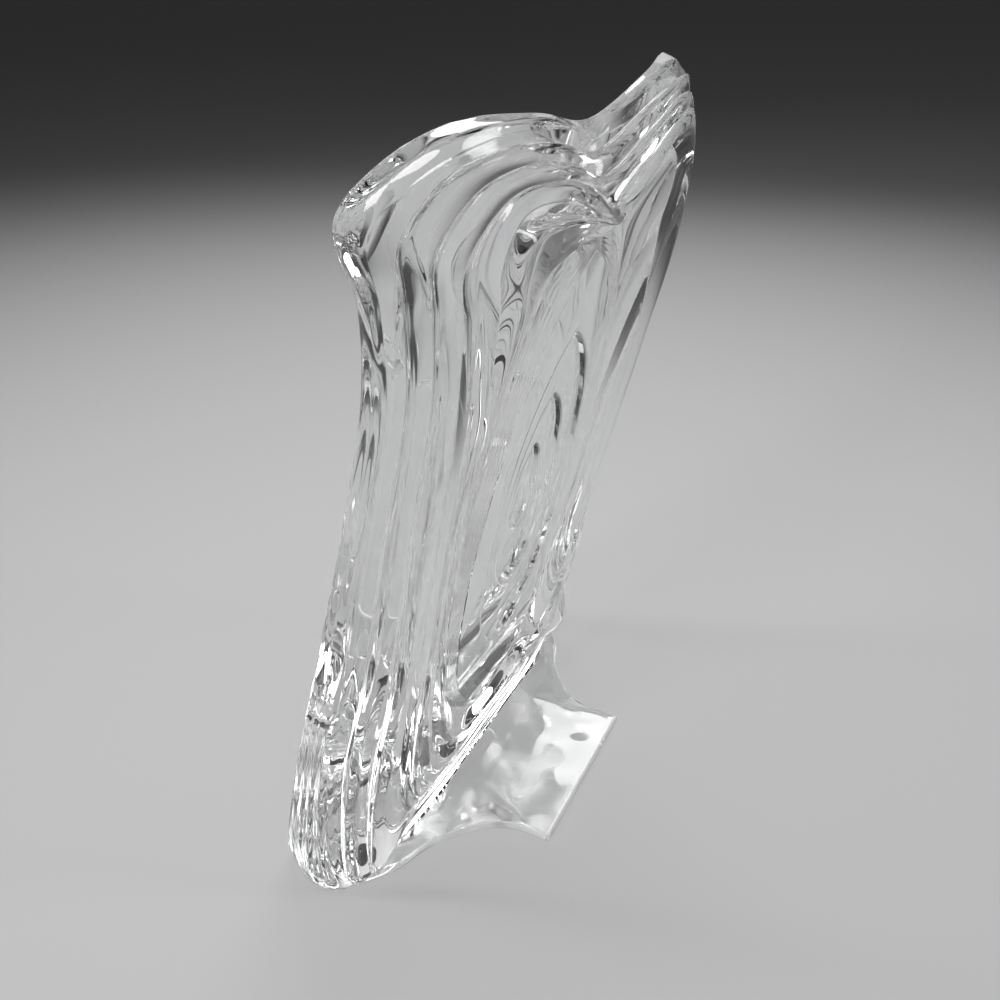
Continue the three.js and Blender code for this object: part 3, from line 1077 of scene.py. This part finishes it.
@dataclass
class Bowl:
    """The bowl frame and the terraces of its medallion."""

    form: Form
    middle: float = 118.5
    rings: tuple[str, ...] = (
        "medallion_outer_ring", "medallion_middle_ring", "medallion_inner_ring",
    )
    shares: tuple[float, ...] = (1, 0.69, 0.43, 0.2)
    depths: tuple[float, ...] = (-0.8, 1.2, 3.2, 5.2)
    edge_radius: float = 0.7
    edge_steps: int = 5
    band_steps: int = 24
    top_steps: int = 10
    centre_steps: int = 8
    centre_share: float = 0.15
    relief: Relief = Relief(
        crest=1 / 3, bead=0.12, bead_width=0.02, flutes=7, flute_from=0.69, flute_to=0.99,
        flute_low=0.1, flute_high=0.1, seed=41.0,
    )

    def frame(self) -> bpy.types.Object:
        """The innermost leaf, with the channel that runs round the medallion.

        Returns:
            The frame.
        """
        form = self.form
        seat = form.seats[3]
        start = forward(form.bowl_groove, form.bond_gap)
        rows = across([start, form.bowl_crest, form.channel, form.bowl_rim], self.band_steps)
        rows = self.relief.over(rows, evenly(rows), seat)
        skin = Skin().add(rows, Face.POLISHED).add([forward(seat, form.bond_gap)], Face.BONDED)
        piece = Lofter(skin, form.offset).ring("bowl_frame_crystal")
        return dress(piece, BODY_FINISH, "bowl_frame")

    def _loop(self, share: float, inset: float, depth: float) -> np.ndarray:
        """A loop of the medallion."""
        return self.form.loops.terrace(share, inset, depth, self.middle)

    def _round(self, share: float, depth: float) -> list[np.ndarray]:
        """The rounded edge where a terrace's top goes down towards the middle.

        Args:
            share: Size of the step's loop.
            depth: Depth of the terrace's top.

        Returns:
            The edge's rows, from the top to the step.
        """
        rows = []
        for k in range(self.edge_steps + 1):
            turn = math.pi / 2 * k / self.edge_steps
            inset = -self.edge_radius * (1 - math.sin(turn))
            rows.append(self._loop(share, inset, depth + self.edge_radius * (1 - math.cos(turn))))
        return rows

    def terrace(self, name: str, step: int) -> bpy.types.Object:
        """One ring of the medallion.

        Args:
            name: The node that it stands for.
            step: Its number, from 0 for the outer ring.

        Returns:
            The ring.
        """
        gap = self.form.bond_gap
        back = self.form.seat_depth - gap
        outer, inner = self.shares[step], self.shares[step + 1]
        top, below = self.depths[step], self.depths[step + 1]
        edge = self._round(inner, top)
        rim = self._loop(outer, gap, top)
        skin = Skin().add([self._loop(outer, gap, back), rim], Face.BONDED)
        skin.add(straight(rim, edge[0], self.top_steps), Face.POLISHED).add(edge, Face.POLISHED)
        skin.add([self._loop(inner, 0, below)], Face.POLISHED)
        skin.add([self._loop(inner, 0, back)], Face.BONDED)
        piece = Lofter(skin, self.form.offset).ring(f"{name}_crystal")
        return dress(piece, TERRACE_FINISH, name)

    def centre(self) -> bpy.types.Object:
        """The clear middle of the medallion.

        Returns:
            The middle.
        """
        gap, middle = self.form.bond_gap, self.middle * MM
        back = self.form.seat_depth - gap
        share, top = self.shares[-1], self.depths[-1]
        pane = float(self.form.loops.pane(np.array(middle)))
        behind = np.array((pane - back * MM, 0, middle))
        front = np.array((pane - top * MM, 0, middle))
        rim = self._loop(share, gap, top)
        inner = self._loop(share * self.centre_share, 0, top)
        skin = Skin().add([self._loop(share, gap, back), rim], Face.BONDED)
        skin.add(straight(rim, inner, self.centre_steps), Face.POLISHED)
        piece = Lofter(skin, self.form.offset).plate("medallion_centre_crystal", behind, front)
        return dress(piece, TERRACE_FINISH, "medallion_centre")

    def build(self) -> None:
        """Builds the bowl frame and the medallion."""
        self.frame()
        for step, name in enumerate(self.rings):
            self.terrace(name, step)
        self.centre()


@dataclass
class Foot:
    """The tongue that is thin at its edge and rises in a hollow curve to the sill."""

    form: Form
    reach: float = 39.0
    half_width: float = 33.3
    root_reach: float = 1.5
    root_height: float = 1.2
    edge: float = 3.4
    fillet: float = 2.2
    flank_share: float = 0.625
    flank: tuple[tuple[float, float], ...] = (
        (1.04, 0.77), (0.91, 0.48), (0.74, 0.26), (0.54, 0.08), (0.28, 0),
    )
    columns: int = 64
    rows: int = 20
    edge_radius: float = 1.1
    edge_steps: int = 5
    thickest_round: float = 0.45
    longest_round: float = 0.5
    shortest_run: float = 1e-5
    bond: float = 0.3
    wave_height: float = 0.7
    wave_length: float = 11.0

    def _sill(self) -> np.ndarray:
        """The front of the body from the foot's root to the middle of the sill.

        Returns:
            One point for each station.
        """
        form = self.form
        root, middle = form.sill()
        stations = slice(root, middle + 1)
        belly, crest = form.back_belly[stations], form.crests[0][stations]
        front = np.maximum(belly[:, 0], crest[:, 0]) + form.bond_gap * MM
        height = np.maximum(crest[:, 2] - self.bond * MM, self.root_height * MM)
        return np.stack([front, belly[:, 1], height], axis=1)

    def _outline(self, sill: np.ndarray, share: float) -> np.ndarray:
        """A point of the foot's edge on the floor.

        Args:
            sill: The front of the body behind the foot.
            share: How far it lies from the root to the middle of the outer edge.

        Returns:
            The point.
        """
        reach, half = self.reach * MM, self.half_width * MM
        front = sill[-1, 0] + reach
        root = np.array((sill[0, 0] + self.root_reach * MM, sill[0, 1], 0))
        corner = np.array((front, half, 0))
        if share > self.flank_share:
            along = (share - self.flank_share) / (1 - self.flank_share)
            return corner * (1, 1 - along, 1)
        middle = [
            np.array((front - reach * back, half + (root[1] - half) * out, 0))
            for back, out in self.flank
        ]
        points = [root, *middle, corner]
        points = [2 * points[0] - points[1], *points, 2 * points[-1] - points[-2]]
        place = share / self.flank_share * (len(points) - 3)
        k = min(int(place), len(points) - 4)
        return Loops.span(points[k:k + 4], np.array([place - k]))[0]

    def _rounded(
        self, outer: np.ndarray, inward: np.ndarray, edge: float, radius: float
    ) -> list[np.ndarray]:
        """The rounded edge of a slice, from its top to the floor.

        Args:
            outer: The point of the foot's outline.
            inward: The direction back to the body.
            edge: The edge's height.
            radius: The radius of its upper and its lower round.

        Returns:
            Its points.
        """
        points = []
        for low in (False, True):
            for step in range(1, self.edge_steps + 1):
                turn = math.pi / 2 * step / self.edge_steps
                upright, level = 1 - math.cos(turn), 1 - math.sin(turn)
                point = outer + inward * radius * (upright if low else level)
                point[2] = radius * level if low else edge - radius * upright
                points.append(point)
        return points

    def _slice(self, sill: np.ndarray, side: int, share: float) -> np.ndarray:
        """One slice of the foot, from the body out to its rounded edge and back to the floor.

        Args:
            sill: The front of the body behind the foot.
            side: 1 or -1 for the foot's two halves.
            share: How far it lies from the root to the foot's middle.

        Returns:
            The slice's points.
        """
        place = share * (len(sill) - 1)
        k = min(int(place), len(sill) - 2)
        inner = sill[k] + (sill[k + 1] - sill[k]) * (place - k)
        outer = self._outline(sill, share)
        edge = min(self.edge * MM, inner[2])
        radius = min(self.edge_radius * MM, edge * self.thickest_round)
        run = max(float(np.linalg.norm((outer - inner)[:2])), self.shortest_run)
        points = [np.array((inner[0], inner[1], 0.0))]
        for row in range(self.rows + 1):
            u = row / self.rows * (1 - min(radius / run, self.longest_round))
            point = inner + (outer - inner) * u
            point[2] = edge + (inner[2] - edge) * (1 - u) ** self.fillet
            here = Vector((point[0], side * point[1], 0)) / (self.wave_length * MM)
            point[2] += self.wave_height * MM * noise.noise(here) * math.sin(math.pi * u)
            points.append(point)
        inward = (inner - outer) * (1, 1, 0) / run
        points += self._rounded(outer, inward, edge, radius)
        return np.array(points) * (1, side, 1)

    def build(self) -> bpy.types.Object:
        """Builds the foot.

        Returns:
            The foot.
        """
        sill = self._sill()
        slices = [
            self._slice(sill, 1 if column >= 0 else -1, 1 - abs(column) / self.columns)
            for column in range(-self.columns, self.columns + 1)
        ]
        skin = Skin().add(slices, Face.POLISHED)
        edge = range(self.rows + 1, self.rows + 1 + 2 * self.edge_steps)
        marked = {0: Face.BONDED, **dict.fromkeys(edge, Face.DRAWN)}
        lofter = Lofter(skin, self.form.offset, dict.fromkeys(range(len(slices)), marked))
        piece = lofter.plate("foot_crystal", slices[0].mean(0), slices[-1].mean(0))
        return dress(piece, FOOT_FINISH, "foot")


@dataclass(frozen=True)
class Lamp:
    """A soft lamp: its place and aim, its size in metres, its watts, and its spread in degrees."""

    name: str
    place: Point
    aim: Point
    size: tuple[float, float]
    power: float
    spread: float = 100.0

    def build(self) -> None:
        """Puts the lamp in the scene."""
        data = bpy.data.lights.new(self.name, "AREA")
        data.shape = "RECTANGLE"
        data.size, data.size_y = self.size
        data.energy = self.power
        data.spread = math.radians(self.spread)
        lamp = bpy.data.objects.new(self.name, data)
        lamp.location = self.place
        towards = Vector(self.aim) - Vector(self.place)
        lamp.rotation_euler = towards.to_track_quat("-Z", "Y").to_euler()
        bpy.context.scene.collection.objects.link(lamp)


@dataclass
class Studio:
    """A plain pale floor, soft lamps, the surroundings and the camera.

    The surroundings have a tone at each of some heights, which run from 0 at the horizon to 1
    overhead.
    """

    floor_size: float = 14.0
    floor_gap: float = 0.0002
    floor_colour: tuple[float, float, float] = (0.52, 0.52, 0.525)
    floor_roughness: float = 0.8
    floor_shine: float = 0.2
    camera_place: Point = (0.12794, -0.2549, 0.276)
    camera_pitch: float = 30.24
    camera_yaw: float = 26.2
    camera_nearest: float = 0.01
    lens: float = 36.0
    sensor: float = 36.0
    heights: tuple[float, ...] = (0.0, 0.12, 0.32, 0.6, 1.0)
    tones: tuple[float, ...] = (0.012, 0.02, 0.16, 0.02, 0.006)
    lamps: tuple[Lamp, ...] = (
        Lamp("rear", (-0.25, 0.8, 1.0), (0, 0, 0.15), (0.9, 0.4), 2.9),
        Lamp("strip", (-0.5, -0.2, 1.1), (0, 0, 0.12), (0.1, 0.9), 1.7),
        Lamp("side", (-0.2, -1.1, 0.7), (0, 0, 0.12), (0.1, 0.9), 2.3),
        Lamp("front", (1.0, 0.4, 0.6), (0, 0, 0.12), (0.2, 0.7), 1.2),
        Lamp("card", (-0.45, 0.75, 0.43), (0, 0, 0.1), (1.0, 0.3), 0.3, 120.0),
    )
    bounces: int = 28
    glass_bounces: int = 24
    gloss_bounces: int = 12
    seam_bounces: int = 48

    def floor(self) -> None:
        """Lays the pale floor."""
        bm = bmesh.new()
        bmesh.ops.create_grid(bm, x_segments=1, y_segments=1, size=self.floor_size / 2)
        bmesh.ops.translate(bm, vec=(0, 0, -self.floor_gap), verts=bm.verts)
        floor = linked_mesh("floor", bm)
        mat = bpy.data.materials.new("floor_paper")
        mat.use_nodes = True
        shader = mat.node_tree.nodes["Principled BSDF"]
        shader.inputs["Base Color"].default_value = (*self.floor_colour, 1)
        shader.inputs["Roughness"].default_value = self.floor_roughness
        shader.inputs["Specular IOR Level"].default_value = self.floor_shine
        floor.data.materials.append(mat)

    def surroundings(self) -> None:
        """Makes the room round the set: dark at the horizon and overhead, and paler between."""
        world = bpy.data.worlds.new("room")
        bpy.context.scene.world = world
        world.use_nodes = True
        nodes, links = world.node_tree.nodes, world.node_tree.links
        where = nodes.new("ShaderNodeTexCoord")
        parts = nodes.new("ShaderNodeSeparateXYZ")
        tone = nodes.new("ShaderNodeValToRGB")
        tone.color_ramp.interpolation = "EASE"
        ramp = tone.color_ramp.elements
        ramp[0].position, ramp[1].position = self.heights[0], self.heights[-1]
        for height in self.heights[1:-1]:
            ramp.new(height)
        for element, value in zip(ramp, self.tones):
            element.color = (value, value, value, 1)
        links.new(where.outputs["Generated"], parts.inputs[0])
        links.new(parts.outputs["Z"], tone.inputs["Fac"])
        links.new(tone.outputs["Color"], nodes["Background"].inputs["Color"])

    def camera(self) -> None:
        """Sets up the camera at the photograph's angle."""
        data = bpy.data.cameras.new("camera")
        data.lens = self.lens
        data.sensor_width = self.sensor
        data.clip_start = self.camera_nearest
        camera = bpy.data.objects.new("camera", data)
        camera.location = self.camera_place
        pitch, yaw = math.radians(90 - self.camera_pitch), math.radians(self.camera_yaw)
        camera.rotation_euler = (pitch, 0, yaw)
        bpy.context.scene.collection.objects.link(camera)
        bpy.context.scene.camera = camera

    def build(self) -> None:
        """Sets up the studio, and enough bounces for light to cross all the bonded pieces."""
        scene = bpy.context.scene
        scene.view_settings.view_transform = "Standard"
        scene.cycles.max_bounces = self.bounces
        scene.cycles.transmission_bounces = self.glass_bounces
        scene.cycles.glossy_bounces = self.gloss_bounces
        scene.cycles.transparent_max_bounces = self.seam_bounces
        scene.cycles.caustics_reflective = False
        scene.cycles.caustics_refractive = False
        self.floor()
        for lamp in self.lamps:
            lamp.build()
        self.surroundings()
        self.camera()


def main() -> None:
    """Builds the sculpture and its studio."""
    logging.basicConfig(level=logging.INFO, format="%(message)s")
    form = Form()
    Body(form).build()
    Bowl(form).build()
    Foot(form).build()
    Studio().build()


if __name__ == "__main__":
    main()
